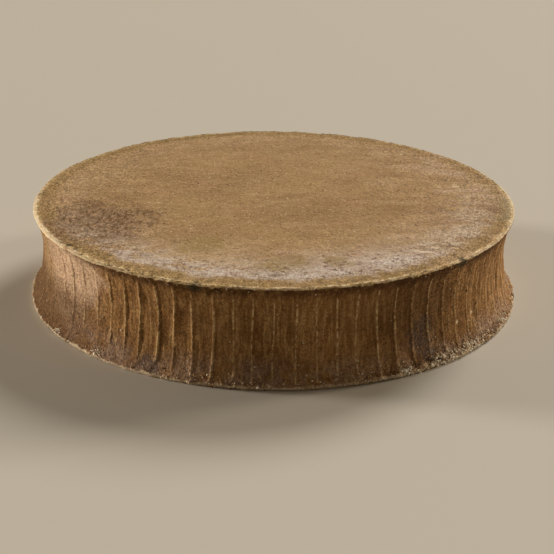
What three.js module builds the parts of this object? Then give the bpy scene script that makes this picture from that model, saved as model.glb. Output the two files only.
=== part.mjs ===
// A pressed mountain cheese: one whole round wheel. The side, called the heel, is hollowed all the way
// round and carries upright ribs of rind left by the pleats of its cloth. Thin lips of rind stand out
// at the upper and lower edges. Nothing has been cut from the wheel, so it is one solid body.
//
// Millimetres, +Z up. The origin is the middle of the flat underside, and the front faces -Y.

import * as THREE from 'three';

// Driving dimensions of the wheel, with the rim a little lower than the middle of the top
const WHEEL_HEIGHT = 79;
const RIM_HEIGHT = 78;
const WAIST_RADIUS = 193.4;
const WAIST_HEIGHT = 47;

// The heel flares from its waist to each edge, by the share of the way there raised to a power
const UPPER_FLARE = 6;
const UPPER_FLARE_POWER = 2;
const LOWER_FLARE = 7.9;
const LOWER_FLARE_POWER = 1.8;

// The lips: how far each stands out from the flared heel, and the heights between which it grows
const UPPER_LIP_PROUD = 1.2;
const UPPER_LIP_ROOT = 71.5;
const UPPER_LIP_FACE = 74.5;
const LOWER_LIP_PROUD = 4.8;
const LOWER_LIP_ROOT = 15;
const LOWER_LIP_FACE = 3;

// Rounding of the rim and of the lower edge: where each starts, and how far it draws in
const RIM_ROUND_START = 76.4;
const RIM_INSET = 2.2;
const LOWER_EDGE_INSET = 5;

// The outermost band of the top slopes down to the rim from here
const BAND_INNER_RADIUS = 165;

// Ribs of the heel
const RIB_COUNT = 80;
const FIRST_RIB_DEGREES = -89.7;
const RIB_HALF_WIDTH = 1.5;
const RIB_HEIGHT = 1.1;
const RIB_JITTER_DEGREES = 0.3;
const RIB_TOP = 73;
const RIB_FADE = 5;

// Ribs on the front left are drawn round towards the front, the most at one angle. Half widths of
// stretches of the heel are chords, as shares of its radius.
const RIB_DRIFT = { degrees: -135, halfWidth: 0.4, turn: 2 };

// Stretches where the ribs are worn down, each by a share of their height at its middle
const WORN_STRETCHES = [
  { degrees: -170, halfWidth: 0.45, share: 0.85 },
  { degrees: -8, halfWidth: 0.55, share: 0.7 },
];

// Each rib wanders sideways and grows stronger and weaker in slow waves up its height
const RIB_WANDER_DEGREES = 0.16;
const RIB_WANDER_LENGTH = 13;
const RIB_STRENGTH_LENGTH = 7;

// Unevenness of a hand-turned rind: of the lips, of the rim's height and of the top
const LIP_WOBBLE = 0.45;
const RIM_RIPPLE = 0.3;
const TOP_UNDULATION = 0.45;
const BROAD_SWELL = 29;
const NARROW_SWELL = 19;

// Small dents in the upper lip, each at an angle round the rim
const RIM_DENTS = [
  { degrees: -141, halfWidth: 3.4, depth: 1.6 },
  { degrees: -73, halfWidth: 2.2, depth: 1.1 },
];

// Fineness of the faceting
const EDGE_STEPS = 3;
const HEEL_STEPS = 8;
const LIP_STEPS = 2;
const TOP_RINGS = [
  { radius: 192, pointsPerRib: 1 },
  { radius: 183, pointsPerRib: 1 },
  { radius: 172, pointsPerRib: 1 },
  { radius: 155, pointsPerRib: 1 },
  { radius: 132, pointsPerRib: 1 },
  { radius: 104, pointsPerRib: 0.5 },
  { radius: 72, pointsPerRib: 0.5 },
  { radius: 36, pointsPerRib: 0.25 },
];

const RIND_COLOUR = 0x9a7a55;
const RIND_ROUGHNESS = 0.85;

const FULL_TURN = 2 * Math.PI;
const { clamp, degToRad, lerp, smoothstep } = THREE.MathUtils;

// A steady value between -1 and 1 for each whole number, so that every rib has its own character
function scatter(index, kind) {
  const wave = Math.sin(index * 12.9898 + kind * 78.233) * 43758.5453;
  return 2 * (wave - Math.floor(wave)) - 1;
}

// Slow unevenness round the wheel, between -1 and 1
function wobble(angle, shift) {
  const slow = 0.45 * Math.sin(3 * angle + shift);
  const middle = 0.35 * Math.sin(11 * angle + 2.1 * shift);
  const quick = 0.2 * Math.sin(29 * angle + 3.7 * shift);
  return slow + middle + quick;
}

// How fully a height belongs to the upper lip, from 0 to 1
function upperLipShare(height) {
  return smoothstep(height, UPPER_LIP_ROOT, UPPER_LIP_FACE);
}

// How fully a height belongs to the lower lip, which grows out of the heel ever faster
function lowerLipShare(height) {
  return clamp((LOWER_LIP_ROOT - height) / (LOWER_LIP_ROOT - LOWER_LIP_FACE), 0, 1) ** 2;
}

// How far a quarter-ellipse edge has drawn in, for a share of its rounding from 0 to 1
function drawnIn(inset, share) {
  return inset * (1 - Math.sqrt(1 - clamp(share, 0, 1) ** 2));
}

// Radius of the hollowed heel at a height, without its lips
function flaredRadius(height) {
  if (height > WAIST_HEIGHT) {
    const share = (height - WAIST_HEIGHT) / (RIM_HEIGHT - WAIST_HEIGHT);
    return WAIST_RADIUS + UPPER_FLARE * share ** UPPER_FLARE_POWER;
  }
  const share = (WAIST_HEIGHT - height) / WAIST_HEIGHT;
  return WAIST_RADIUS + LOWER_FLARE * share ** LOWER_FLARE_POWER;
}

// Radius at a height with both lips and both rounded edges
function heelRadius(height) {
  const lips = UPPER_LIP_PROUD * upperLipShare(height) + LOWER_LIP_PROUD * lowerLipShare(height);
  const rim = drawnIn(RIM_INSET, (height - RIM_ROUND_START) / (RIM_HEIGHT - RIM_ROUND_START));
  const lowerEdge = drawnIn(LOWER_EDGE_INSET, (LOWER_LIP_FACE - height) / LOWER_LIP_FACE);
  return flaredRadius(height) + lips - rim - lowerEdge;
}

// A bell curve round the wheel, 1 at an angle in degrees and falling off over a chord of a half width
function bell(angle, degrees, halfWidth) {
  const chord = 2 * Math.sin((angle - degToRad(degrees)) / 2);
  return Math.exp(-((chord / halfWidth) ** 2));
}

// How far the rim is pressed in by its dents at an angle
function dentDepth(angle) {
  return RIM_DENTS.reduce((depth, dent) => {
    return depth + dent.depth * bell(angle, dent.degrees, dent.halfWidth / WAIST_RADIUS);
  }, 0);
}

// How much of its height a rib at an angle has kept
function ribPresence(angle) {
  return WORN_STRETCHES.reduce((kept, worn) => {
    return kept - worn.share * bell(angle, worn.degrees, worn.halfWidth);
  }, 1);
}

// Angle of the middle of a rib at a height
function ribAngle(rib, height) {
  const even = (FULL_TURN * rib) / RIB_COUNT + degToRad(FIRST_RIB_DEGREES);
  const drift = RIB_DRIFT.turn * bell(even, RIB_DRIFT.degrees, RIB_DRIFT.halfWidth);
  const wander = RIB_WANDER_DEGREES * Math.sin(height / RIB_WANDER_LENGTH + 3 * scatter(rib, 2));
  return even + degToRad(drift + RIB_JITTER_DEGREES * scatter(rib, 1) + wander);
}

// Height of a rib above the heel
function ribRelief(rib, height) {
  const lowerFade = smoothstep(height, 0, RIB_FADE);
  const upperFade = 1 - smoothstep(height, RIB_TOP - RIB_FADE, RIB_TOP);
  const surge = Math.sin(height / RIB_STRENGTH_LENGTH + 9 * scatter(rib, 4));
  const strength = 0.75 + 0.25 * scatter(rib, 3) + 0.2 * surge;
  return RIB_HEIGHT * strength * lowerFade * upperFade * ribPresence(ribAngle(rib, height));
}

// Height of the top: a gently uneven middle, with an outer band that slopes down to the rim
function topHeight(x, y) {
  const inner = 1 - smoothstep(Math.hypot(x, y), BAND_INNER_RADIUS, WAIST_RADIUS);
  const broad = Math.sin(x / BROAD_SWELL) * Math.cos(y / BROAD_SWELL);
  const narrow = Math.sin((x - y) / NARROW_SWELL);
  const hollow = TOP_UNDULATION * (0.5 - 0.3 * broad - 0.2 * narrow);
  return RIM_HEIGHT + (WHEEL_HEIGHT - RIM_HEIGHT - hollow) * inner;
}

// Values from one number up to another, which is left out
function evenly(from, to, steps) {
  return Array.from({ length: steps }, (_, step) => lerp(from, to, step / steps));
}

// Heights of the rings of the heel, from the underside to the rim. They lie closer near the lips.
function heelHeights() {
  const heel = evenly(0, Math.PI, HEEL_STEPS).map((turn) => {
    return lerp(LOWER_LIP_FACE, UPPER_LIP_ROOT, 0.5 - 0.5 * Math.cos(turn));
  });
  return [
    ...evenly(0, LOWER_LIP_FACE, EDGE_STEPS),
    ...heel,
    ...evenly(UPPER_LIP_ROOT, UPPER_LIP_FACE, LIP_STEPS),
    UPPER_LIP_FACE,
    ...evenly(RIM_ROUND_START, RIM_HEIGHT, EDGE_STEPS),
    RIM_HEIGHT,
  ];
}

// Radius of the heel at a height and angle, without the ribs
function unevenRadius(height, angle) {
  const upper = upperLipShare(height);
  const lower = lowerLipShare(height);
  const uneven = LIP_WOBBLE * (upper * wobble(angle, 1) + lower * wobble(angle, 0));
  return heelRadius(height) + uneven - upper * dentDepth(angle);
}

// One ring of the heel, with three points for each rib: the feet of its two flanks and its crest
function heelRing(height) {
  const rippleShare = smoothstep(height, WAIST_HEIGHT, RIM_HEIGHT);
  const ring = [];
  for (let rib = 0; rib < RIB_COUNT; rib += 1) {
    for (const side of [-1, 0, 1]) {
      const angle = ribAngle(rib, height) + (side * RIB_HALF_WIDTH) / WAIST_RADIUS;
      const relief = side === 0 ? ribRelief(rib, height) : 0;
      const radius = unevenRadius(height, angle) + relief;
      const ripple = RIM_RIPPLE * rippleShare * (wobble(angle, 4) - 1);
      ring.push(new THREE.Vector3(radius * Math.cos(angle), radius * Math.sin(angle), height + ripple));
    }
  }
  return ring;
}

// One ring of the top, its points evenly spread
function topRing({ radius, pointsPerRib }) {
  const count = RIB_COUNT * pointsPerRib;
  return Array.from({ length: count }, (_, index) => {
    const angle = (FULL_TURN * index) / count + degToRad(FIRST_RIB_DEGREES);
    const x = radius * Math.cos(angle);
    const y = radius * Math.sin(angle);
    return new THREE.Vector3(x, y, topHeight(x, y));
  });
}

// Triangles between two neighbouring rings, where the second may have fewer points than the first
function stitch(triangles, first, second) {
  const share = second.length / first.length;
  first.forEach((point, index) => {
    const nextPoint = first[(index + 1) % first.length];
    const opposite = second[Math.round(index * share) % second.length];
    const nextOpposite = second[Math.round((index + 1) * share) % second.length];
    triangles.push(point, nextPoint, opposite);
    if (opposite !== nextOpposite) {
      triangles.push(nextPoint, nextOpposite, opposite);
    }
  });
}

// Triangles that close a ring round a middle point, facing up or down
function closeRing(triangles, ring, middle, facesUp) {
  ring.forEach((point, index) => {
    const nextPoint = ring[(index + 1) % ring.length];
    triangles.push(...(facesUp ? [point, nextPoint, middle] : [nextPoint, point, middle]));
  });
}

function wheelGeometry() {
  const rings = [...heelHeights().map(heelRing), ...TOP_RINGS.map(topRing)];
  const triangles = [];
  rings.slice(1).forEach((ring, index) => stitch(triangles, rings[index], ring));
  closeRing(triangles, rings[0], new THREE.Vector3(0, 0, 0), false);
  closeRing(triangles, rings.at(-1), new THREE.Vector3(0, 0, topHeight(0, 0)), true);
  const geometry = new THREE.BufferGeometry().setFromPoints(triangles);

  // The unevenness shifts the outline a little, so it is centred over the origin again
  geometry.computeBoundingBox();
  const centre = geometry.boundingBox.getCenter(new THREE.Vector3());
  geometry.translate(-centre.x, -centre.y, 0);
  geometry.computeVertexNormals();
  return geometry;
}

const wheel = new THREE.Mesh(
  wheelGeometry(),
  new THREE.MeshStandardMaterial({ color: RIND_COLOUR, roughness: RIND_ROUGHNESS, metalness: 0 }),
);
wheel.name = 'cheese_wheel';

const cheese = new THREE.Group();
cheese.add(wheel);

export default cheese;
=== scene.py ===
"""A whole wheel of pressed mountain cheese: its ribbed, hollow-sided rind with crusty lips."""

import math

import bpy
import numpy as np
from mathutils import Matrix, Vector


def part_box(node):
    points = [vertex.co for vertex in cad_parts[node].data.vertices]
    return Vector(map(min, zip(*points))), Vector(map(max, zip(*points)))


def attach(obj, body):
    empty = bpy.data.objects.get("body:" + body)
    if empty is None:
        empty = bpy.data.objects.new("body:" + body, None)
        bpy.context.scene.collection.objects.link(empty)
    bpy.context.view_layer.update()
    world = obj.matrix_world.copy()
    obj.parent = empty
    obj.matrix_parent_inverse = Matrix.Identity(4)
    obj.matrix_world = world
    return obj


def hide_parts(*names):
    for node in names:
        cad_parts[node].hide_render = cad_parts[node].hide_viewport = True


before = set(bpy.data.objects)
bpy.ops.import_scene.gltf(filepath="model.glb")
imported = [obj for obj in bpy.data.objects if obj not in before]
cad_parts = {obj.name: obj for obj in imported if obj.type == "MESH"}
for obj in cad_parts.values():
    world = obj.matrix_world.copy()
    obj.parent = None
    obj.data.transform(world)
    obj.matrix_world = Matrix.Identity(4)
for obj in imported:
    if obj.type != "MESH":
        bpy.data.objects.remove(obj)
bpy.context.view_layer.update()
wheel_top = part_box("cheese_wheel")[1].z

# Shapes are worked out in millimetres and put into meshes in metres
MM = 0.001
TURN = 2 * math.pi

# The wheel's section, as on the solid
WHEEL_HEIGHT = wheel_top / MM
RIM_HEIGHT = WHEEL_HEIGHT - 1
WAIST_RADIUS = 193.4
WAIST_HEIGHT = 47
UPPER_FLARE = 6
LOWER_FLARE = 7.9
UPPER_LIP_PROUD = 1.2
UPPER_LIP_ROOT = 71.5
UPPER_LIP_FACE = 74.5
LOWER_LIP_PROUD = 4.8
LOWER_LIP_ROOT = 15
LOWER_LIP_FACE = 3
RIM_ROUND_START = 76.4
RIM_INSET = 2.2
LOWER_EDGE_INSET = 5
BAND_INNER_RADIUS = 165

# Ribs of the heel
RIB_COUNT = 80
FIRST_RIB_DEGREES = -89.7
RIB_JITTER_DEGREES = 0.3
RIB_WANDER_DEGREES = 0.16
RIB_HEIGHT = 1.05
RIB_WIDTH = 0.8
RIB_TOP = 73
FURROW_DEPTH = 0.1

# Fine unevenness of the heel, and the groove under the upper lip
STRIAE_DEPTH = 0.13
LUMP_DEPTH = 0.14
GROOVE_DEPTH = 0.9
GROOVE_HEIGHT = 74.4
GROOVE_WIDTH = 1.2

# Where the ribs are drawn round towards the front: the angle, the half width as a chord, and the turn
RIB_DRIFT = (-135, 0.4, 2)

# Stretches where the ribs are worn down: the angle, the half width as a chord, and the share lost
WORN_STRETCHES = [(-170, 0.45, 0.85), (-8, 0.55, 0.7)]

# Where the feet of the ribs fade out: the angle, the half width as a chord, and how much higher
FADED_FEET = (-136, 0.5, 15)

# Stretches of the upper lip that are smooth and pale, the first wide and the second thin: the angle,
# and the half width as a chord
SMOOTH_LIPS = [(-160, 0.55), (-12, 0.6)]

# The stretch of the foot that is smooth: the angle, and the half width as a chord
SMOOTH_FOOT = (-158, 0.55)

# Dents in the upper lip: where they lie round the rim, half their width, and their depth
RIM_DENTS = [(-141, 3.4, 1.6), (-73, 2.2, 1.1)]

# The grid: columns from the middle of each rib, in millimetres along the waist, and rows up the heel
RIB_COLUMNS = np.array([-1.7, -0.85, 0, 0.85, 1.7, 3.5, 5.5, 7.5, 9.5, 11.5])
COLUMN_COUNT = RIB_COUNT * len(RIB_COLUMNS)
EDGE_ROWS = 5
HEEL_ROWS = 62
TOP_CELLS = COLUMN_COUNT // 4


def scatter(index, kind):
    """A steady value from -1 to 1 for each whole number: the fraction of a large multiple of a sine."""
    wave = np.sin(index * 12.9898 + kind * 78.233) * 43758.5453
    return 2 * (wave - np.floor(wave)) - 1


def smooth(value, start, end):
    """0 before start and 1 after end, with 3 t squared minus 2 t cubed between them."""
    share = np.clip((value - start) / (end - start), 0, 1)
    return share * share * (3 - 2 * share)


def waves(points, size, seed, count=36):
    """Cloudy unevenness about one high: many sine waves of length near size, in random directions."""
    rng = np.random.default_rng(seed)
    directions = rng.normal(size=(count, 3))
    directions /= np.linalg.norm(directions, axis=1, keepdims=True)
    lengths = size * rng.uniform(0.7, 1.5, count)
    phases = rng.uniform(0, TURN, count)
    steps = directions * (TURN / lengths)[:, None]
    return np.sin(points @ steps.T + phases).sum(-1) / math.sqrt(count / 2)


def wobble(angle, shift):
    """Slow unevenness round the wheel: three sines of 3, 11 and 29 turns, as on the solid."""
    slow = 0.45 * np.sin(3 * angle + shift)
    middle = 0.35 * np.sin(11 * angle + 2.1 * shift)
    return slow + middle + 0.2 * np.sin(29 * angle + 3.7 * shift)


def upper_lip_share(height):
    """How fully a height belongs to the upper lip: a smooth step from its root to its face."""
    return smooth(height, UPPER_LIP_ROOT, UPPER_LIP_FACE)


def lower_lip_share(height):
    """How fully a height belongs to the lower lip: the square of the way down from root to face."""
    return np.clip((LOWER_LIP_ROOT - height) / (LOWER_LIP_ROOT - LOWER_LIP_FACE), 0, 1) ** 2


def drawn_in(inset, share):
    """How far a quarter-ellipse edge has drawn in, for a share of its rounding."""
    return inset * (1 - np.sqrt(1 - np.clip(share, 0, 1) ** 2))


def heel_radius(height):
    """Radius at a height: the waist, a power of the way to either edge and the lips, less roundings."""
    up = np.clip((height - WAIST_HEIGHT) / (RIM_HEIGHT - WAIST_HEIGHT), 0, 1)
    down = np.clip((WAIST_HEIGHT - height) / WAIST_HEIGHT, 0, 1)
    flared = WAIST_RADIUS + UPPER_FLARE * up**2 + LOWER_FLARE * down**1.8
    lips = UPPER_LIP_PROUD * upper_lip_share(height) + LOWER_LIP_PROUD * lower_lip_share(height)
    rim = drawn_in(RIM_INSET, (height - RIM_ROUND_START) / (RIM_HEIGHT - RIM_ROUND_START))
    lower_edge = drawn_in(LOWER_EDGE_INSET, (LOWER_LIP_FACE - height) / LOWER_LIP_FACE)
    return flared + lips - rim - lower_edge


def bell(angle, degrees, half_width):
    """A bell curve round the wheel: 1 at an angle, falling off over a chord as a share of the radius."""
    chord = 2 * np.sin((angle - math.radians(degrees)) / 2)
    return np.exp(-((chord / half_width) ** 2))


def dent_depth(angle):
    """How far the rim is pressed in: a bell curve along the rim for each dent."""
    return sum(depth * bell(angle, degrees, width / WAIST_RADIUS) for degrees, width, depth in RIM_DENTS)


def grid_rows():
    """Heights of the heel's rows: even turns round both edges, and between them closer near the lips."""
    turn = np.linspace(0, math.pi / 2, EDGE_ROWS + 1)[:-1]
    lower = LOWER_LIP_FACE * (1 - np.cos(turn))
    share = np.linspace(0, 1, HEEL_ROWS)
    share = 0.45 * share + 0.55 * (0.5 - 0.5 * np.cos(math.pi * share))
    heel = LOWER_LIP_FACE + (RIM_ROUND_START - LOWER_LIP_FACE) * share
    upper = RIM_ROUND_START + (RIM_HEIGHT - RIM_ROUND_START) * np.sin(np.append(turn[1:], math.pi / 2))
    return np.concatenate([lower, heel, upper])


def rib_wander(rib, height):
    """Degrees that a rib stands from its even place: one drift, a steady jitter and a slow sine."""
    degrees, half_width, turn = RIB_DRIFT
    even = TURN * rib / RIB_COUNT + math.radians(FIRST_RIB_DEGREES)
    wander = RIB_WANDER_DEGREES * np.sin(height / 13 + 3 * scatter(rib, 2))
    return turn * bell(even, degrees, half_width) + RIB_JITTER_DEGREES * scatter(rib, 1) + wander


def rib_strength(rib, height):
    """How strongly a rib stands out at a height: its character, a slow surge and broken stretches."""
    surge = np.sin(height / 7 + 9 * scatter(rib, 4))
    knots = np.sin(height / 1.35 + 20 * scatter(rib, 5)) * np.sin(height / 2.9 + 20 * scatter(rib, 6))
    angle = TURN * rib / RIB_COUNT + np.radians(FIRST_RIB_DEGREES + rib_wander(rib, height))
    presence = 1 - sum(lost * bell(angle, degrees, width) for degrees, width, lost in WORN_STRETCHES)
    faded = FADED_FEET[2] * bell(angle, FADED_FEET[0], FADED_FEET[1])
    window = smooth(height, 1 + 0.5 * faded, 6 + faded) * (1 - smooth(height, RIB_TOP - 5, RIB_TOP))
    character = 0.78 + 0.25 * scatter(rib, 3) + 0.2 * surge + 0.25 * knots
    return presence * window * np.clip(character, 0.05, 1.4)


def heel_columns(height):
    """Angle of every column at a height, its rib, and how far it is from the ribs on its two sides."""
    rib, place = np.divmod(np.arange(COLUMN_COUNT), len(RIB_COLUMNS))
    offset = RIB_COLUMNS[place]
    pitch = TURN * WAIST_RADIUS / RIB_COUNT
    share = np.clip((offset - RIB_COLUMNS[4]) / (pitch - 2 * RIB_COLUMNS[4]), 0, 1)
    wander = (1 - share) * rib_wander(rib, height) + share * rib_wander((rib + 1) % RIB_COUNT, height)
    angle = TURN * rib / RIB_COUNT + offset / WAIST_RADIUS + np.radians(FIRST_RIB_DEGREES + wander)
    return angle, rib, offset, pitch - offset


def ridge(distance, width):
    """A rounded ridge: a bell curve of the distance from its crest."""
    return np.exp(-((distance / width) ** 2))


def heel_surface(height):
    """The heel on a grid of rows and columns: the section's radius plus ribs, furrows, striae and crust.

    Each rib is a bell curve across, with a shallow furrow on both sides and a faint twin beside some.
    """
    rows = height[:, None]
    angle, rib, before, after = heel_columns(rows)
    next_rib = (rib + 1) % RIB_COUNT
    here, there = rib_strength(rib, rows), rib_strength(next_rib, rows)
    crest = here * ridge(before, RIB_WIDTH) + there * ridge(after, RIB_WIDTH)
    twin = 0.3 * here * (scatter(rib, 7) > 0.1) * ridge(before - 3.6, 0.9)
    furrow = here * ridge(np.abs(before) - 2.3, 1) + there * ridge(np.abs(after) - 2.3, 1)
    flat = np.stack([WAIST_RADIUS * np.cos(angle), WAIST_RADIUS * np.sin(angle), rows + 0 * angle], -1)
    wide, thin = bell(angle, *SMOOTH_LIPS[0]), bell(angle, *SMOOTH_LIPS[1])
    clean = np.clip(wide + thin, 0, 1)
    frayed = 0.3 * waves(flat * [1, 1, 0.3], 13, 15) + 0.45 * waves(flat * [1, 1, 0.3], 4, 16)
    ragged = rows + frayed * (1 - 0.8 * clean) * (1 - smooth(rows, 76.4, 77.5))
    upper, lower = upper_lip_share(ragged - 1.9 + 1.3 * wide), lower_lip_share(rows)
    uneven = 0.45 * (upper * wobble(angle, 1) + lower * wobble(angle, 0))
    striae = waves(flat * [1, 1, 0.09], 4.5, 11) * smooth(rows, 6, 14) * (1 - upper)
    lumps = waves(flat, 11, 12)
    crust = np.abs(waves(flat, 3.6, 13)) + 0.5 * waves(flat, 14, 17)
    crumble = upper * (0.3 + 0.3 * bell(angle, -95, 0.8)) * (1 - 0.8 * clean)
    crumble = crumble + (0.8 - 0.5 * bell(angle, *SMOOTH_FOOT)) * np.clip(lower * 1.6, 0, 1)
    radius = heel_radius(rows) + uneven - upper * dent_depth(angle)
    radius = radius + RIB_HEIGHT * (crest + twin) - FURROW_DEPTH * furrow
    radius = radius + STRIAE_DEPTH * striae + LUMP_DEPTH * lumps + crumble * (0.5 * crust - 0.4)
    radius = radius - GROOVE_DEPTH * ridge(ragged - GROOVE_HEIGHT + 1.3 * wide, GROOVE_WIDTH)
    ripple = smooth(rows, WAIST_HEIGHT, RIM_HEIGHT)
    raised = 0.3 * ripple * (wobble(angle, 4) - 1) + (0.2 - 0.14 * clean) * upper * waves(flat, 5, 14)
    z = np.clip(rows + raised, 0, None)
    points = np.stack([radius * np.cos(angle), radius * np.sin(angle), z], -1)
    lip = smooth(ragged, 76.3 - 2.2 * wide, 77.6 - 2.1 * wide)
    pale = wide + 0.8 * thin + 0 * rows
    return points, {"crest": crest + twin, "furrow": furrow, "lip": lip, "pale": pale}


def top_height(x, y):
    """Height of the top: the solid's slow swells and sloping band, with lumps a few millimetres wide."""
    inner = 1 - smooth(np.hypot(x, y), BAND_INNER_RADIUS, WAIST_RADIUS)
    hollow = 0.45 * (0.5 - 0.3 * np.sin(x / 29) * np.cos(y / 29) - 0.2 * np.sin((x - y) / 19))
    flat = np.stack([x, y, 0 * x], -1)
    lumps = 0.16 * waves(flat, 17, 21) + 0.1 * waves(flat, 7, 22)
    return RIM_HEIGHT + (WHEEL_HEIGHT - RIM_HEIGHT - hollow) * inner + 0.6 * lumps


def top_surface(rim):
    """The top as a square grid drawn out into a disc: squares round the middle become circles.

    Towards the edge the points slide along their circles to meet the rim's own points.
    """
    steps = np.linspace(-1, 1, TOP_CELLS + 1)
    a, b = np.meshgrid(steps, steps, indexing="ij")
    share = np.maximum(np.abs(a), np.abs(b))
    wide = np.abs(a) >= np.abs(b)
    ratio = np.where(wide, b / np.where(wide, np.where(a == 0, 1, a), 1), a / np.where(wide, 1, b))
    beside = ratio / 8 + np.where(a < 0, 0.5, 0)
    above = 0.25 - ratio / 8 + np.where(b < 0, 0.5, 0)
    turn = np.where(wide, beside, above) % 1
    column = turn * COLUMN_COUNT
    rim_angle = np.unwrap(np.arctan2(rim[:, 1], rim[:, 0]))
    rim_angle = np.append(rim_angle, rim_angle[0] + TURN)
    rim_radius = np.hypot(rim[:, 0], rim[:, 1])
    rim_radius = np.append(rim_radius, rim_radius[0])
    places = np.arange(COLUMN_COUNT + 1)
    slide = smooth(share, 0.85, 1)
    even = rim_angle[0] + TURN * turn
    angle = even + (np.interp(column, places, rim_angle) - even) * slide
    edge = np.interp(column, places, rim_radius)
    radius = share * (rim_radius[:-1].mean() + (edge - rim_radius[:-1].mean()) * slide)
    x, y = radius * np.cos(angle), radius * np.sin(angle)
    rim_z = np.interp(column, places, np.append(rim[:, 2], rim[0, 2]))
    z = top_height(x, y)
    z = z + (rim_z - z) * smooth(radius, 194, 198)
    return np.stack([x, y, z], -1), np.rint(column).astype(int) % COLUMN_COUNT


def quads(index):
    """The four-cornered faces of a grid of vertex numbers."""
    return np.stack([index[:-1, :-1], index[:-1, 1:], index[1:, 1:], index[1:, :-1]], -1).reshape(-1, 4)


def make_mesh(name, points, faces, values, material):
    """A mesh object at the origin, from points in millimetres, faces of 3 or 4 corners and values."""
    mesh = bpy.data.meshes.new(name)
    mesh.from_pydata(points * MM, [], [f for group in faces for f in group.tolist()])
    for key, value in values.items():
        mesh.attributes.new(key, "FLOAT", "POINT").data.foreach_set("value", value.astype(np.float32))
    mesh.shade_smooth()
    mesh.materials.append(material)
    mesh.update()
    made = bpy.data.objects.new(name, mesh)
    bpy.context.scene.collection.objects.link(made)
    return made


def make_rind(material):
    """The outer surface as one closed mesh: heel grid, disc grid on top and fan under the flat foot."""
    heights = grid_rows()
    heel, values = heel_surface(heights)
    rows, columns = heel.shape[:2]
    heel_index = np.arange(rows * columns).reshape(rows, columns)
    heel_faces = quads(np.concatenate([heel_index, heel_index[:, :1]], 1))

    top, column = top_surface(heel[-1])
    inside = np.zeros(top.shape[:2], bool)
    inside[1:-1, 1:-1] = True
    top_index = np.where(inside, 0, heel_index[-1][column])
    top_index[inside] = heel_index.size + np.arange(inside.sum())
    top_faces = quads(top_index.T)[:, ::-1]

    middle = heel_index.size + inside.sum()
    foot = heel_index[0]
    foot_faces = np.stack([np.roll(foot, -1), foot, np.full(columns, middle)], -1)

    points = np.concatenate([heel.reshape(-1, 3), top[inside], [[0, 0, 0]]])
    beyond = {"crest": 0.0, "furrow": 0.0, "lip": 1.0, "pale": 0.0}
    values = {
        key: np.concatenate([value.ravel(), np.full(inside.sum(), beyond[key]), [0]])
        for key, value in values.items()
    }
    return make_mesh("rind", points, [heel_faces, top_faces, foot_faces], values, material)


# Crumbs of dried rind
CRUMB_SEED = 5
CRUMB_TRIES = 60000

# Clusters of white crumbs at the foot: angle and half width in degrees
CRUMB_CLUSTERS = [
    (-60.8, 2.2),
    (-51, 3.4),
    (-41.5, 4.4),
    (-25, 2.6),
    (-145.5, 1.4),
    (-131, 1.6),
    (60, 5),
    (118, 4),
]


def crumb_shape():
    """A crumb of 20 faces: two poles, and two staggered rings of five, 26.6 degrees up and down."""
    turn = np.arange(5) * TURN / 5
    tilt = math.atan(0.5)
    wide, tall = math.cos(tilt), math.sin(tilt)
    north = np.stack([wide * np.cos(turn), wide * np.sin(turn), 0 * turn + tall], -1)
    half = turn + TURN / 10
    south = np.stack([wide * np.cos(half), wide * np.sin(half), 0 * turn - tall], -1)
    points = np.concatenate([[[0, 0, 1]], north, south, [[0, 0, -1]]])
    i = np.arange(5)
    j = (i + 1) % 5
    cap = np.stack([0 * i, 1 + i, 1 + j], -1)
    band = np.concatenate([np.stack([1 + i, 6 + i, 1 + j], -1), np.stack([1 + j, 6 + i, 6 + j], -1)])
    base = np.stack([11 + 0 * i, 6 + j, 6 + i], -1)
    return points, np.concatenate([cap, band, base])


def crumb_places(rng):
    """Angles, heights and brightness of the crumbs: dense along the lips and the ribs' feet."""
    angle = rng.uniform(-math.pi, math.pi, CRUMB_TRIES)
    height = rng.uniform(0.6, RIM_HEIGHT - 0.3, CRUMB_TRIES)
    flat = np.stack([WAIST_RADIUS * np.cos(angle), WAIST_RADIUS * np.sin(angle), height], -1)
    drift = smooth(waves(flat, 34, 31) + 0.5 * waves(flat, 9, 32), -0.6, 1.2)
    front_right = bell(angle, -48, 0.56)
    clustered = sum(bell(angle, degrees, math.radians(width)) for degrees, width in CRUMB_CLUSTERS)
    clustered = clustered * ridge(height - 4, 3.5)
    lower = ridge(height - 2, 3) + 0.35 * (drift + front_right) * ridge(height, 11)
    bare = sum(bell(angle, degrees, width) for degrees, width in SMOOTH_LIPS)
    upper = 0.5 * ridge(height - 75.6, 1.1) * np.clip(1 - bare, 0, 1)
    degrees = np.degrees(angle) - FIRST_RIB_DEGREES
    from_rib = np.abs((degrees / 360 * RIB_COUNT + 0.5) % 1 - 0.5) * TURN * WAIST_RADIUS / RIB_COUNT
    foot = 0.5 * ridge(from_rib, 1.3) * (1 - smooth(height, 8, 26))
    lower = lower * (1 - 0.85 * bell(angle, *SMOOTH_FOOT))
    chance = lower * (0.3 + 0.7 * drift + 0.9 * front_right) + upper * (0.35 + drift) + foot * drift
    kept = rng.uniform(size=CRUMB_TRIES) < 0.42 * chance + 0.9 * clustered + 0.004
    return angle[kept], height[kept], np.clip(clustered, 0, 1)[kept]


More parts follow.
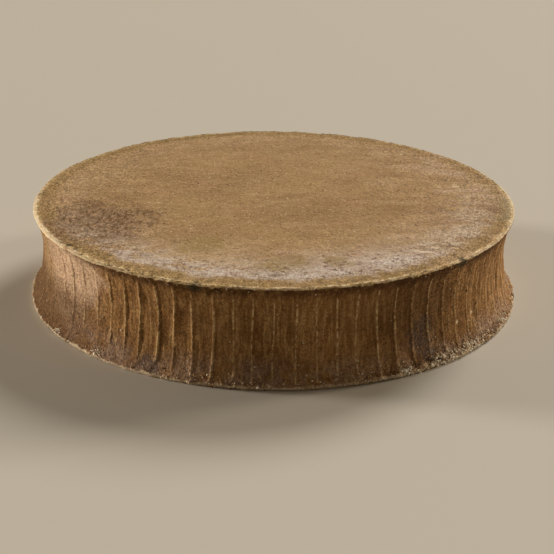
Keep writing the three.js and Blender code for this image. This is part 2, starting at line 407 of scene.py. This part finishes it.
def make_crumbs(material):
    """Crumbs as one mesh: each a squashed and turned 20-sided grain, sunk to its middle in the rind."""
    rng = np.random.default_rng(CRUMB_SEED)
    angle, height, bright = crumb_places(rng)
    count = len(angle)
    shape, faces = crumb_shape()
    size = rng.uniform(0.35, 0.75, count) + (0.35 + 0.6 * bright) * rng.uniform(size=count) ** 3
    size = size * np.where(height > 60, 0.75, 1)
    grain = shape[None] * (size[:, None] * rng.uniform(0.7, 1.25, (count, 3)))[:, None]
    grain = grain * rng.uniform(0.8, 1.15, (count, len(shape), 1))
    out = np.stack([np.cos(angle), np.sin(angle), 0 * angle], -1)
    side = np.stack([-np.sin(angle), np.cos(angle), 0 * angle], -1)
    up = np.broadcast_to([0, 0, 1.0], (count, 3))
    turned = grain[..., :1] * side[:, None] + grain[..., 1:2] * up[:, None]
    turned = turned + 0.8 * grain[..., 2:] * out[:, None]
    radius = heel_radius(height) + 0.45 * wobble(angle, 0) * lower_lip_share(height)
    centre = out * radius[:, None]
    centre[:, 2] = np.maximum(height, size * 0.9)
    points = (turned + centre[:, None]).reshape(-1, 3)
    points[:, 2] = np.clip(points[:, 2], 0, None)
    joined = (faces[None] + (np.arange(count) * len(shape))[:, None, None]).reshape(-1, 3)
    tint = np.repeat(np.clip(0.9 * rng.uniform(size=count) + 0.7 * bright, 0, 1), len(shape))
    return make_mesh("rind_crumbs", points, [joined], {"tint": tint}, material)


class Nodes:
    """Short words for the shader nodes that the materials are made of."""

    def __init__(self, name):
        self.material = bpy.data.materials.new(name)
        self.material.use_nodes = True
        self.tree = self.material.node_tree
        self.shader = self.tree.nodes["Principled BSDF"]
        self.place = self.tree.nodes.new("ShaderNodeTexCoord").outputs["Object"]

    def link(self, value, socket):
        """Joins an output to a socket, or sets a plain number or colour on it."""
        if isinstance(value, bpy.types.NodeSocket):
            self.tree.links.new(value, socket)
        else:
            socket.default_value = value

    def math(self, operation, *values):
        """One step of arithmetic on numbers or outputs."""
        node = self.tree.nodes.new("ShaderNodeMath")
        node.operation = operation
        for socket, value in zip(node.inputs, values):
            self.link(value, socket)
        return node.outputs[0]

    def split(self, vector):
        """The x, y and z of a vector."""
        node = self.tree.nodes.new("ShaderNodeSeparateXYZ")
        self.link(vector, node.inputs[0])
        return node.outputs

    def stretched(self, scale):
        """The place on the object, scaled by three numbers."""
        node = self.tree.nodes.new("ShaderNodeMapping")
        self.link(self.place, node.inputs["Vector"])
        node.inputs["Scale"].default_value = scale
        return node.outputs[0]

    def noise(self, size, detail=3.0, roughness=0.55, vector=None, shift=0.0):
        """Cloudy noise of features about size metres across, from 0 to 1."""
        node = self.tree.nodes.new("ShaderNodeTexNoise")
        node.noise_dimensions = "4D"
        self.link(self.place if vector is None else vector, node.inputs["Vector"])
        node.inputs["W"].default_value = shift
        node.inputs["Scale"].default_value = 1 / size
        node.inputs["Detail"].default_value = detail
        node.inputs["Roughness"].default_value = roughness
        return node.outputs[0]

    def step(self, value, start, end):
        """A smooth step from 0 at start to 1 at end. Start may be the larger."""
        node = self.tree.nodes.new("ShaderNodeMapRange")
        node.interpolation_type = "SMOOTHSTEP"
        flipped = start > end
        self.link(value, node.inputs["Value"])
        node.inputs["From Min"].default_value = min(start, end)
        node.inputs["From Max"].default_value = max(start, end)
        node.inputs["To Min"].default_value = 1.0 if flipped else 0.0
        node.inputs["To Max"].default_value = 0.0 if flipped else 1.0
        return node.outputs[0]

    def times(self, *values):
        """The product of all the values."""
        product = values[0]
        for value in values[1:]:
            product = self.math("MULTIPLY", product, value)
        return product

    def plus(self, first, second):
        """The sum of two values."""
        return self.math("ADD", first, second)

    def uneven(self, value, noise, reach):
        """A value moved up and down by a noise, half the reach each way."""
        return self.plus(value, self.times(self.math("SUBTRACT", noise, 0.5), reach))

    def mix(self, share, first, second, blend="MIX"):
        """Two colours mixed by a share, or blended another way."""
        node = self.tree.nodes.new("ShaderNodeMix")
        node.data_type = "RGBA"
        node.blend_type = blend
        self.link(share, node.inputs["Factor"])
        self.link(first, node.inputs[6])
        self.link(second, node.inputs[7])
        return node.outputs[2]

    def spot(self, place, size, noise):
        """A ragged spot round a place: 1 at its middle, 0 beyond its size in metres."""
        node = self.tree.nodes.new("ShaderNodeVectorMath")
        node.operation = "DISTANCE"
        self.link(self.place, node.inputs[0])
        node.inputs[1].default_value = place
        ragged = self.uneven(node.outputs["Value"], noise, size * 2)
        return self.step(ragged, size * 1.1, size * 0.5)

    def attribute(self, name):
        """A value that the mesh carries at its points."""
        node = self.tree.nodes.new("ShaderNodeAttribute")
        node.attribute_name = name
        return node.outputs["Fac"]

    def bump(self, height, depth, strength, normal=None):
        """A bump of a depth in metres, laid over another where one is given."""
        node = self.tree.nodes.new("ShaderNodeBump")
        node.inputs["Distance"].default_value = depth
        node.inputs["Strength"].default_value = strength
        self.link(height, node.inputs["Height"])
        if normal is not None:
            self.link(normal, node.inputs["Normal"])
        return node.outputs[0]


def srgb(red, green, blue):
    """A colour given as 0 to 255 on screen, in the linear values that shaders use."""
    def linear(value):
        value = value / 255
        return value / 12.92 if value <= 0.04045 else ((value + 0.055) / 1.055) ** 2.4
    return (linear(red), linear(green), linear(blue), 1.0)


TAN = srgb(177, 144, 102)
TAN_DARK = srgb(150, 117, 79)
TAN_LIGHT = srgb(197, 166, 126)
BAND_YELLOW = srgb(171, 143, 98)
BAND_OCHRE = srgb(134, 105, 66)
BAND_BRIGHT = srgb(224, 192, 136)
BLOOM_GREY = srgb(208, 188, 168)
BLOOM_BROWN = srgb(126, 100, 80)
PINK_GREY = srgb(204, 174, 150)
PINK_BROWN = srgb(150, 114, 84)
LILAC = srgb(206, 191, 185)
BLOOM_WHITE = srgb(236, 222, 208)
OLIVE = srgb(152, 128, 72)
ROSE = srgb(180, 136, 106)
MOTTLE_AND_SHADE_BROWN = srgb(112, 82, 54)
MAUVE = srgb(176, 146, 122)
RIM_GREEN = srgb(164, 154, 126)
SPECK_DARK = srgb(70, 50, 32)
SPECK_LIGHT = srgb(232, 212, 180)
HEEL = srgb(157, 116, 70)
HEEL_DARK = srgb(113, 77, 39)
HEEL_LIGHT = srgb(190, 151, 102)
HEEL_PALE = srgb(205, 170, 128)
HEEL_SHADE = srgb(98, 70, 42)
RIB_CREAM = srgb(228, 197, 148)
# Dark brown for flecks, and for painted shade in furrows, under the upper lip and on the heel
SHADE_AND_FLECK_BROWN = srgb(80, 52, 28)
LIP_CREAM = srgb(248, 226, 190)
CRUST_GREY = srgb(214, 193, 162)
CRUMB_WHITE = srgb(255, 248, 230)
FOOT_LILAC = srgb(158, 138, 128)
PATCH_BLUE = srgb(82, 72, 70)
CRACK_GREEN = srgb(58, 60, 44)
GRIT_DARK = (0.24, 0.24, 0.24, 1)
GRIT_LIGHT = (0.76, 0.76, 0.76, 1)

# Blue-grey patches on the heel: angle in degrees, height and size in millimetres
HEEL_PATCHES = [(-55.7, 25, 15), (-53.2, 8.5, 9), (-117, 4, 13), (35, 20, 14), (130, 8, 12)]

# Pale patches high on the heel, partly pale rind and partly painted light: angle in degrees, height and
# size in millimetres
PALE_AND_LIT_PATCHES = [(-152, 60, 50), (-138, 66, 26)]

# A pinkish patch under the upper lip: angle in degrees, height and size in millimetres
PINK_PATCH = (-143, 57, 46)

# Small dark pits and pale chips in the heel: angle in degrees, height and size in millimetres
HEEL_PITS = [(-25.3, 29, 1.5), (-36.4, 32, 1.5), (-40.3, 47, 1.5), (72, 38, 1.5), (160, 52, 1.5)]
HEEL_CHIPS = [(-43.9, 25, 1.6), (-38.2, 27, 1.6), (95, 31, 1.6)]

# Drift of grit at the foot: angle in degrees, height and size in millimetres
FOOT_DRIFT = (-42, 2, 90)

# Greenish nicks at the upper lip: angle in degrees, radius, height and size in millimetres
LIP_NICKS = [
    (-142.8, 194.5, 78, 3.4),
    (-139.6, 195.5, 78, 2),
    (-106.5, 198.5, 75, 5),
    (-44.5, 198.5, 75, 5),
    (76, 199, 76, 3.5),
]

# Ragged marks on the top: x, y and size in millimetres
# The first mark is a dark mottle, partly painted cast shadow
MOTTLED_AND_SHADED = (-143, -75, 58)
PALE_WASH = (-58, -140, 52)
LILAC_CORE = (64, -165, 70)
GREEN_RIM = (193, -25, 36)
ROSE_MARK = (181, -28, 10)
OLIVE_MARKS = [(8, -154.5, 20), (48, -149, 12), (-56, -115, 24)]
PALE_SCUFFS = [(150, 28, 13), (180, 32, 10), (118, -125, 12)]
DARK_DOTS = [(42, -147.5, 1.6), (88.5, -146.3, 2), (98, -152, 1.4)]


def top_mark(n, mark, noise):
    """A ragged spot on the top, from its x, y and size in millimetres."""
    x, y, size = mark
    return n.spot((x * MM, y * MM, RIM_HEIGHT * MM), size * MM, noise)


def lip_mark(n, mark, noise):
    """A ragged spot, from its angle in degrees and its radius, height and size in millimetres."""
    degrees, radius, height, size = mark
    angle = math.radians(degrees)
    place = (radius * math.cos(angle) * MM, radius * math.sin(angle) * MM, height * MM)
    return n.spot(place, size * MM, noise)


def heel_mark(n, mark, noise):
    """A ragged spot on the heel, from its angle in degrees and its height and size in millimetres."""
    degrees, height, size = mark
    return lip_mark(n, (degrees, float(heel_radius(np.float64(height))), height, size), noise)


def tan_colour(n, x, broad, middle, fine):
    """The ground of the top: tan clouds, grey streaks on the right, a mottle partly of painted shadow, a
    pale patch.
    """
    streaks = n.noise(0.012, 4.0, 0.65, n.stretched((0.4, 1.0, 1.0)), 51.0)
    colour = n.mix(n.times(n.step(broad, 0.4, 0.7), 0.6), TAN, TAN_DARK)
    colour = n.mix(n.times(n.step(streaks, 0.44, 0.68), 0.5), colour, TAN_LIGHT)
    yellow = n.step(n.noise(0.03, 3.0, 0.6, shift=41.0), 0.5, 0.66)
    rosy = n.step(n.noise(0.04, 3.0, 0.6, shift=43.0), 0.55, 0.7)
    colour = n.mix(n.times(yellow, 0.5), colour, BAND_YELLOW)
    colour = n.mix(n.times(rosy, 0.35), colour, ROSE)
    aside = n.step(x, 0.04, 0.15)
    greyer = n.noise(0.016, 3.0, 0.65, n.stretched((0.3, 1.0, 1.0)), 53.0)
    colour = n.mix(n.times(aside, n.step(greyer, 0.48, 0.62), 0.55), colour, PINK_GREY)
    colour = n.mix(n.times(aside, n.step(greyer, 0.46, 0.36), 0.5), colour, PINK_BROWN)
    # A dark mottle on the left of the top, partly painted cast shadow, with mauve and dark flecks
    mottled_and_shaded = n.times(top_mark(n, MOTTLED_AND_SHADED, middle), n.step(fine, 0.28, 0.56))
    colour = n.mix(n.times(mottled_and_shaded, 0.85), colour, MOTTLE_AND_SHADE_BROWN)
    flecks = n.noise(0.0022, 2.0, 0.6, n.stretched((1.0, 0.45, 1.0)), 63.0)
    flecked = n.times(top_mark(n, MOTTLED_AND_SHADED, broad), 0.75)
    colour = n.mix(n.times(flecked, n.step(flecks, 0.52, 0.6)), colour, MAUVE)
    colour = n.mix(n.times(flecked, n.step(flecks, 0.44, 0.37)), colour, SHADE_AND_FLECK_BROWN)
    colour = n.mix(n.times(top_mark(n, PALE_WASH, middle), 0.6), colour, TAN_LIGHT)
    return n.mix(n.times(n.step(fine, 0.5, 0.68), 0.35), colour, TAN_DARK)


def bloom_colour(n, colour, y, uneven, front, middle, fine):
    """A grey bloom ring, full at the front: silver streaks, a lilac core and crescent, dark dashes."""
    faint = n.times(n.step(uneven, 105.0, 150.0), 0.35)
    full = n.times(n.step(uneven, 142.0, 165.0), 0.65)
    ring = n.times(n.plus(faint, full), n.step(uneven, 191.0, 180.0))
    silver = n.noise(0.0055, 3.0, 0.65, n.stretched((0.35, 0.8, 1.0)), 57.0)
    dashes = n.noise(0.0026, 2.0, 0.6, n.stretched((0.6, 0.6, 1.0)), 59.0)
    bloom = n.times(ring, n.plus(n.times(front, 0.9), 0.15), n.step(middle, 0.26, 0.46))
    silvery = n.plus(n.times(n.step(silver, 0.38, 0.56), 0.58), 0.2)
    colour = n.mix(n.times(bloom, silvery), colour, BLOOM_GREY)
    core = top_mark(n, LILAC_CORE, middle)
    colour = n.mix(n.times(core, ring, n.step(fine, 0.3, 0.5), 0.55), colour, LILAC)
    crescent = n.times(n.step(uneven, 163.0, 170.0), n.step(uneven, 188.0, 182.0))
    crescent = n.times(crescent, n.step(y, -0.1, -0.15))
    colour = n.mix(n.times(crescent, n.step(silver, 0.4, 0.54), 0.6), colour, LILAC)
    white = n.times(bloom, n.step(dashes, 0.44, 0.36), n.step(silver, 0.44, 0.6))
    colour = n.mix(n.times(white, n.plus(n.times(core, 0.6), 0.3)), colour, BLOOM_WHITE)
    for mark in OLIVE_MARKS:
        colour = n.mix(n.times(top_mark(n, mark, middle), 0.5), colour, OLIVE)
    dark = n.times(bloom, n.step(dashes, 0.55, 0.62), n.plus(n.times(core, 0.35), 0.5))
    return n.mix(dark, colour, BLOOM_BROWN)


def band_colour(n, colour, x, ring, uneven, broad, middle, fine):
    """The band at the edge of the top: yellow and ochre in patches, with bright crumbly dots."""
    here = n.plus(n.times(n.step(x, 0.15, 0.09), 0.5), 0.5)
    bare = n.plus(n.times(top_mark(n, MOTTLED_AND_SHADED, middle), -0.75), 1.0)
    band = n.times(n.step(uneven, 178.0, 189.0), n.step(broad, 0.2, 0.5), here, bare)
    patches = n.noise(0.008, 3.0, 0.65, shift=65.0)
    dots = n.noise(0.0026, 2.0, 0.6, shift=61.0)
    colour = n.mix(n.times(band, n.step(patches, 0.34, 0.5), 0.9), colour, BAND_YELLOW)
    ochre = n.times(n.step(patches, 0.5, 0.64), n.step(fine, 0.36, 0.56))
    colour = n.mix(n.times(band, ochre, 0.7), colour, BAND_OCHRE)
    line = n.times(n.step(uneven, 183.0, 189.0), n.step(ring, 195.5, 192.0), n.step(fine, 0.3, 0.5))
    colour = n.mix(n.times(band, line, 0.45), colour, BAND_OCHRE)
    colour = n.mix(n.times(band, n.step(dots, 0.58, 0.66), 0.7), colour, BAND_BRIGHT)
    green = n.times(top_mark(n, GREEN_RIM, fine), n.step(uneven, 183.0, 192.0))
    colour = n.mix(n.times(green, 0.45), colour, RIM_GREEN)
    return n.mix(n.times(top_mark(n, ROSE_MARK, fine), 0.6), colour, PINK_BROWN)


def top_colour(n, x, y, ring, broad, middle, fine):
    """The top: tan ground, bloom ring, edge band, then dark and light specks over all."""
    uneven = n.uneven(ring, middle, 26.0)
    front = n.step(n.plus(n.times(x, 0.25), n.times(y, -0.95)), -0.01, 0.15)
    colour = tan_colour(n, x, broad, middle, fine)
    colour = bloom_colour(n, colour, y, uneven, front, middle, fine)
    colour = band_colour(n, colour, x, ring, uneven, broad, middle, fine)
    dark = n.step(n.noise(0.0023, 2.0, 0.5, shift=17.0), 0.62, 0.7)
    light = n.step(n.noise(0.002, 2.0, 0.5, shift=19.0), 0.61, 0.7)
    colour = n.mix(n.times(dark, 0.75), colour, SPECK_DARK)
    colour = n.mix(n.times(light, 0.6), colour, SPECK_LIGHT)
    strokes = n.step(n.noise(0.005, 2.0, 0.6, n.stretched((0.3, 1.0, 1.0)), 71.0), 0.5, 0.6)
    for mark in PALE_SCUFFS:
        colour = n.mix(n.times(top_mark(n, mark, fine), strokes, 0.45), colour, LIP_CREAM)
    for mark in DARK_DOTS:
        colour = n.mix(n.times(top_mark(n, mark, fine), 0.8), colour, SPECK_DARK)
    return colour


def foot_colour(n, colour, x, height, middle, fine):
    """The foot of the heel: a lilac tint, grit in a drift, and a thin grey crust at the edge."""
    tinted = n.times(n.step(height, 28.0, 7.0), n.step(middle, 0.36, 0.6), n.step(x, -0.175, -0.13))
    colour = n.mix(n.times(tinted, 0.45), colour, FOOT_LILAC)
    uneven = n.uneven(n.uneven(height, middle, 4.0), fine, 5.0)
    drift = n.times(heel_mark(n, FOOT_DRIFT, middle), n.step(uneven, 12.0, 5.0))
    colour = n.mix(n.times(drift, n.step(fine, 0.46, 0.54), 0.7), colour, SPECK_DARK)
    colour = n.mix(n.times(drift, n.step(fine, 0.46, 0.4), 0.5), colour, CRUST_GREY)
    return n.mix(n.times(n.step(uneven, 3.9, 2.6), 0.85), colour, CRUST_GREY)


def brown_ground(n, lines, fine):
    """The ground of the heel: brown clouds, upright streaks and lines, and ripples across."""
    streak = n.noise(0.0035, 3.0, 0.6, n.stretched((1.0, 1.0, 0.1)), 23.0)
    ripple = n.noise(0.009, 2.0, 0.6, n.stretched((1.0, 1.0, 6.0)), 47.0)
    colour = n.mix(n.times(n.step(n.noise(0.045, 3.0, shift=29.0), 0.4, 0.7), 0.8), HEEL, HEEL_DARK)
    colour = n.mix(n.times(n.step(streak, 0.46, 0.64), 0.45), colour, HEEL_LIGHT)
    colour = n.mix(n.times(n.step(ripple, 0.5, 0.68), 0.4), colour, HEEL_DARK)
    colour = n.mix(n.times(n.step(lines, 0.48, 0.62), 0.45), colour, HEEL_DARK)
    colour = n.mix(n.times(n.step(lines, 0.48, 0.36), 0.4), colour, HEEL_LIGHT)
    return n.mix(n.times(n.step(fine, 0.5, 0.68), 0.3), colour, HEEL_DARK)


def heel_stretches(n, colour, x, height, lines, middle, fine):
    """Broad stretches: pale lines at the right, pale patches partly painted light, a pink patch, painted
    shade.
    """
    aside = n.step(x, 0.11, 0.16)
    colour = n.mix(n.times(aside, n.step(lines, 0.46, 0.36), 0.38), colour, HEEL_PALE)
    # Pale patches on the upper left of the heel, partly pale rind and partly painted light
    for mark in PALE_AND_LIT_PATCHES:
        pale = n.times(heel_mark(n, mark, middle), n.step(fine, 0.26, 0.5))
        colour = n.mix(n.times(pale, 0.65), colour, HEEL_PALE)
    colour = n.mix(n.times(heel_mark(n, PINK_PATCH, middle), 0.55), colour, PINK_GREY)
    # Painted shade: the heel darkened low on the left
    painted_shade_low_left = n.times(n.step(x, -0.105, -0.155), n.step(height, 50.0, 26.0))
    colour = n.mix(n.times(painted_shade_low_left, 0.74), colour, HEEL_SHADE)
    # Painted shade: the far left of the heel darkened further
    painted_shade_far_left = n.step(x, -0.155, -0.188)
    colour = n.mix(n.times(painted_shade_far_left, 0.42), colour, HEEL_SHADE)
    # Painted shade: an upright stretch right of the middle darkened, fading out towards the foot
    ragged = n.uneven(x, middle, 0.03)
    painted_shade_right = n.times(n.step(ragged, 0.055, 0.095), n.step(ragged, 0.15, 0.122))
    return n.mix(n.times(painted_shade_right, n.step(height, 0.0, 45.0), 0.6), colour, SHADE_AND_FLECK_BROWN)


def heel_colour(n, x, height, middle, fine):
    """Brown heel: ground, stretches, painted shade in furrows and under the lip, pale crests, patches,
    pits, chips, grey foot.
    """
    lines = n.noise(0.0017, 2.0, 0.6, n.stretched((1.0, 1.0, 0.05)), 67.0)
    beads = n.noise(0.0028, 2.0, 0.6, shift=37.0)
    colour = brown_ground(n, lines, fine)
    colour = heel_stretches(n, colour, x, height, lines, middle, fine)
    # Painted shade in the furrows beside the ribs
    colour = n.mix(n.times(n.step(n.attribute("furrow"), 0.2, 0.9), 0.2), colour, SHADE_AND_FLECK_BROWN)
    beaded = n.times(n.step(n.attribute("crest"), 0.25, 0.65), n.step(beads, 0.36, 0.58))
    colour = n.mix(n.times(beaded, 0.68), colour, RIB_CREAM)
    broken = n.step(fine, 0.3, 0.56)
    for mark in HEEL_PATCHES:
        colour = n.mix(n.times(heel_mark(n, mark, middle), broken, 0.66), colour, PATCH_BLUE)
    for mark in HEEL_PITS:
        colour = n.mix(n.times(heel_mark(n, mark, fine), 0.95), colour, SPECK_DARK)
    for mark in HEEL_CHIPS:
        colour = n.mix(n.times(heel_mark(n, mark, fine), 0.8), colour, LIP_CREAM)
    colour = foot_colour(n, colour, x, height, middle, fine)
    # Painted shade under the upper lip and on the lip's face, broken by noise, lifted where the smooth
    # lip faces the left lamp
    painted_shade_under_lip = n.plus(n.times(n.step(fine, 0.35, 0.6), 0.4), 0.5)
    uneven = n.uneven(height, fine, 6.0)
    lit = n.times(n.attribute("pale"), n.step(x, 0.0, -0.1))
    painted_shade_under_lip = n.times(painted_shade_under_lip, n.step(uneven, 66.0, 74.0), n.step(lit, 0.9, 0.3))
    return n.mix(painted_shade_under_lip, colour, SHADE_AND_FLECK_BROWN)


def lip_colour(n, colour, lip, ring, middle, fine):
    """The upper lip: pale and whole where it is smooth, elsewhere a broken line of bright dots."""
    pale = n.attribute("pale")
    broken = n.math("MAXIMUM", n.step(fine, 0.42, 0.6), pale)
    wider = n.plus(ring, n.times(n.math("SUBTRACT", 1.0, pale), 1.5))
    edge = n.times(n.step(lip, 0.5, 0.9), n.step(wider, 196.0, 198.2), broken)
    cream = n.mix(n.times(n.step(middle, 0.4, 0.62), n.step(pale, 0.7, 0.3)), LIP_CREAM, BAND_BRIGHT)
    colour = n.mix(n.times(edge, n.plus(n.times(pale, 0.4), 0.55)), colour, cream)
    for mark in LIP_NICKS:
        colour = n.mix(n.times(lip_mark(n, mark, fine), 0.7), colour, CRACK_GREEN)
    return colour


def rind_material():
    """Dry brushed rind: a granular tan top, a darker brown streaked heel and cream crusty lips."""
    n = Nodes("rind")
    x, y, z = n.split(n.place)
    height = n.math("DIVIDE", z, MM)
    ring = n.math("DIVIDE", n.math("SQRT", n.plus(n.times(x, x), n.times(y, y))), MM)
    broad = n.noise(0.075, 2.0)
    middle = n.noise(0.016, 4.0, 0.6, shift=3.0)
    fine = n.noise(0.0042, 3.0, 0.65, n.stretched((1.0, 1.0, 0.6)), 7.0)
    grit = n.noise(0.0013, 2.0, 0.7, n.stretched((1.0, 0.6, 1.0)), 11.0)
    top = top_colour(n, x, y, ring, broad, middle, fine)
    heel = heel_colour(n, x, height, middle, fine)
    lip = n.attribute("lip")
    colour = n.mix(n.step(lip, 0.55, 0.9), heel, top)
    colour = lip_colour(n, colour, lip, ring, middle, fine)
    grain = n.mix(n.step(grit, 0.34, 0.66), GRIT_DARK, GRIT_LIGHT)
    outside = n.times(n.step(ring, 150.0, 180.0), 0.26)
    aside = n.times(n.step(n.math("ABSOLUTE", x), 0.07, 0.14), 0.25)
    grainy = n.plus(n.times(n.step(middle, 0.3, 0.7), 0.4), n.plus(outside, 0.15))
    grainy = n.plus(grainy, aside)
    colour = n.mix(grainy, colour, grain, "OVERLAY")
    n.link(colour, n.shader.inputs["Base Color"])
    n.link(n.plus(n.times(fine, 0.25), 0.68), n.shader.inputs["Roughness"])
    n.shader.inputs["Specular IOR Level"].default_value = 0.1
    coarse = n.times(fine, n.plus(n.times(n.step(lip, 0.4, 0.9), 0.6), 0.4))
    rough = n.bump(coarse, 0.003, 0.5)
    rough = n.bump(grit, 0.0009, 0.9, rough)
    n.link(rough, n.shader.inputs["Normal"])
    return n.material


def crumb_material():
    """Dry crumbs: cream, grey and brown, each crumb its own shade, with a fine grain."""
    n = Nodes("rind_crumbs")
    tint = n.attribute("tint")
    colour = n.mix(n.step(tint, 0.15, 0.3), HEEL_DARK, HEEL_LIGHT)
    colour = n.mix(n.step(tint, 0.4, 0.6), colour, CRUST_GREY)
    colour = n.mix(n.step(tint, 0.75, 0.95), colour, CRUMB_WHITE)
    colour = n.mix(n.times(n.noise(0.0008, 2.0), 0.25), colour, HEEL)
    n.link(colour, n.shader.inputs["Base Color"])
    n.shader.inputs["Roughness"].default_value = 0.85
    n.shader.inputs["Specular IOR Level"].default_value = 0.3
    return n.material


def wear(piece):
    """Rides a piece on the wheel's one body, in place of its plain solid."""
    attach(piece, "root")
    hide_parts("cheese_wheel")


wear(make_rind(rind_material()))
wear(make_crumbs(crumb_material()))

# Stage
FLOOR_SIZE = 40.0
FLOOR_COLOUR = srgb(206, 200, 190)


def make_floor():
    """A wide flat floor."""
    n = Nodes("floor")
    n.shader.inputs["Base Color"].default_value = FLOOR_COLOUR
    n.shader.inputs["Roughness"].default_value = 0.9
    half = FLOOR_SIZE / 2 / MM
    corners = np.array([[-half, -half, 0], [half, -half, 0], [half, half, 0], [-half, half, 0]])
    return make_mesh("floor", corners, [np.array([[0, 1, 2, 3]])], {}, n.material)


make_floor()


def add_light(name, place, softness, strength, colour):
    """A far, soft lamp that shines from a place's direction, spread over some degrees."""
    data = bpy.data.lights.new(name, "SUN")
    data.angle = math.radians(softness)
    data.energy = strength
    data.color = colour
    lamp = bpy.data.objects.new(name, data)
    lamp.location = place
    lamp.rotation_euler = (-Vector(place)).to_track_quat("-Z", "Y").to_euler()
    bpy.context.scene.collection.objects.link(lamp)


add_light("high_back", (1.7, 2.6, 2.15), 21, 2.08, (1.0, 0.94, 0.84))
add_light("left", (-2.9, 0.62, 0.4), 12, 3.5, (1.0, 0.91, 0.79))
add_light("right", (2.8, 1.3, 0.55), 12, 1.75, (1.0, 0.87, 0.68))

world = bpy.data.worlds.new("studio")
world.use_nodes = True
background = world.node_tree.nodes["Background"]
background.inputs["Color"].default_value = (0.98, 0.83, 0.62, 1)
background.inputs["Strength"].default_value = 0.158
bpy.context.scene.world = world

# The camera: an 85 mm lens, a little over a metre from the middle of the rim
LENS = 85
SENSOR = 36
CAMERA_DISTANCE = 1.1046
CAMERA_ELEVATION = math.radians(18.87)
AIM_RIGHT = math.radians(0.166)
AIM_UP = math.radians(-3.514)
ROLL = math.radians(0.666)


def make_camera():
    """A camera turned a little off the middle of the rim, and rolled a little."""
    data = bpy.data.cameras.new("camera")
    data.lens = LENS
    data.sensor_width = SENSOR
    camera = bpy.data.objects.new("camera", data)
    back = Vector((0, -math.cos(CAMERA_ELEVATION), math.sin(CAMERA_ELEVATION)))
    right = Vector((1, 0, 0))
    forward = -back + math.tan(AIM_RIGHT) * right + math.tan(AIM_UP) * right.cross(-back)
    forward.normalize()
    right = forward.cross(Vector((0, 0, 1))).normalized()
    up = right.cross(forward)
    across = math.cos(ROLL) * right + math.sin(ROLL) * up
    upward = math.cos(ROLL) * up - math.sin(ROLL) * right
    turn = Matrix((across, upward, -forward)).transposed()
    place = CAMERA_DISTANCE * back + Vector((0, 0, RIM_HEIGHT * MM))
    camera.matrix_world = Matrix.Translation(place) @ turn.to_4x4()
    bpy.context.scene.collection.objects.link(camera)
    bpy.context.scene.camera = camera


make_camera()
bpy.context.scene.view_settings.view_transform = "Standard"

bpy.context.view_layer.update()
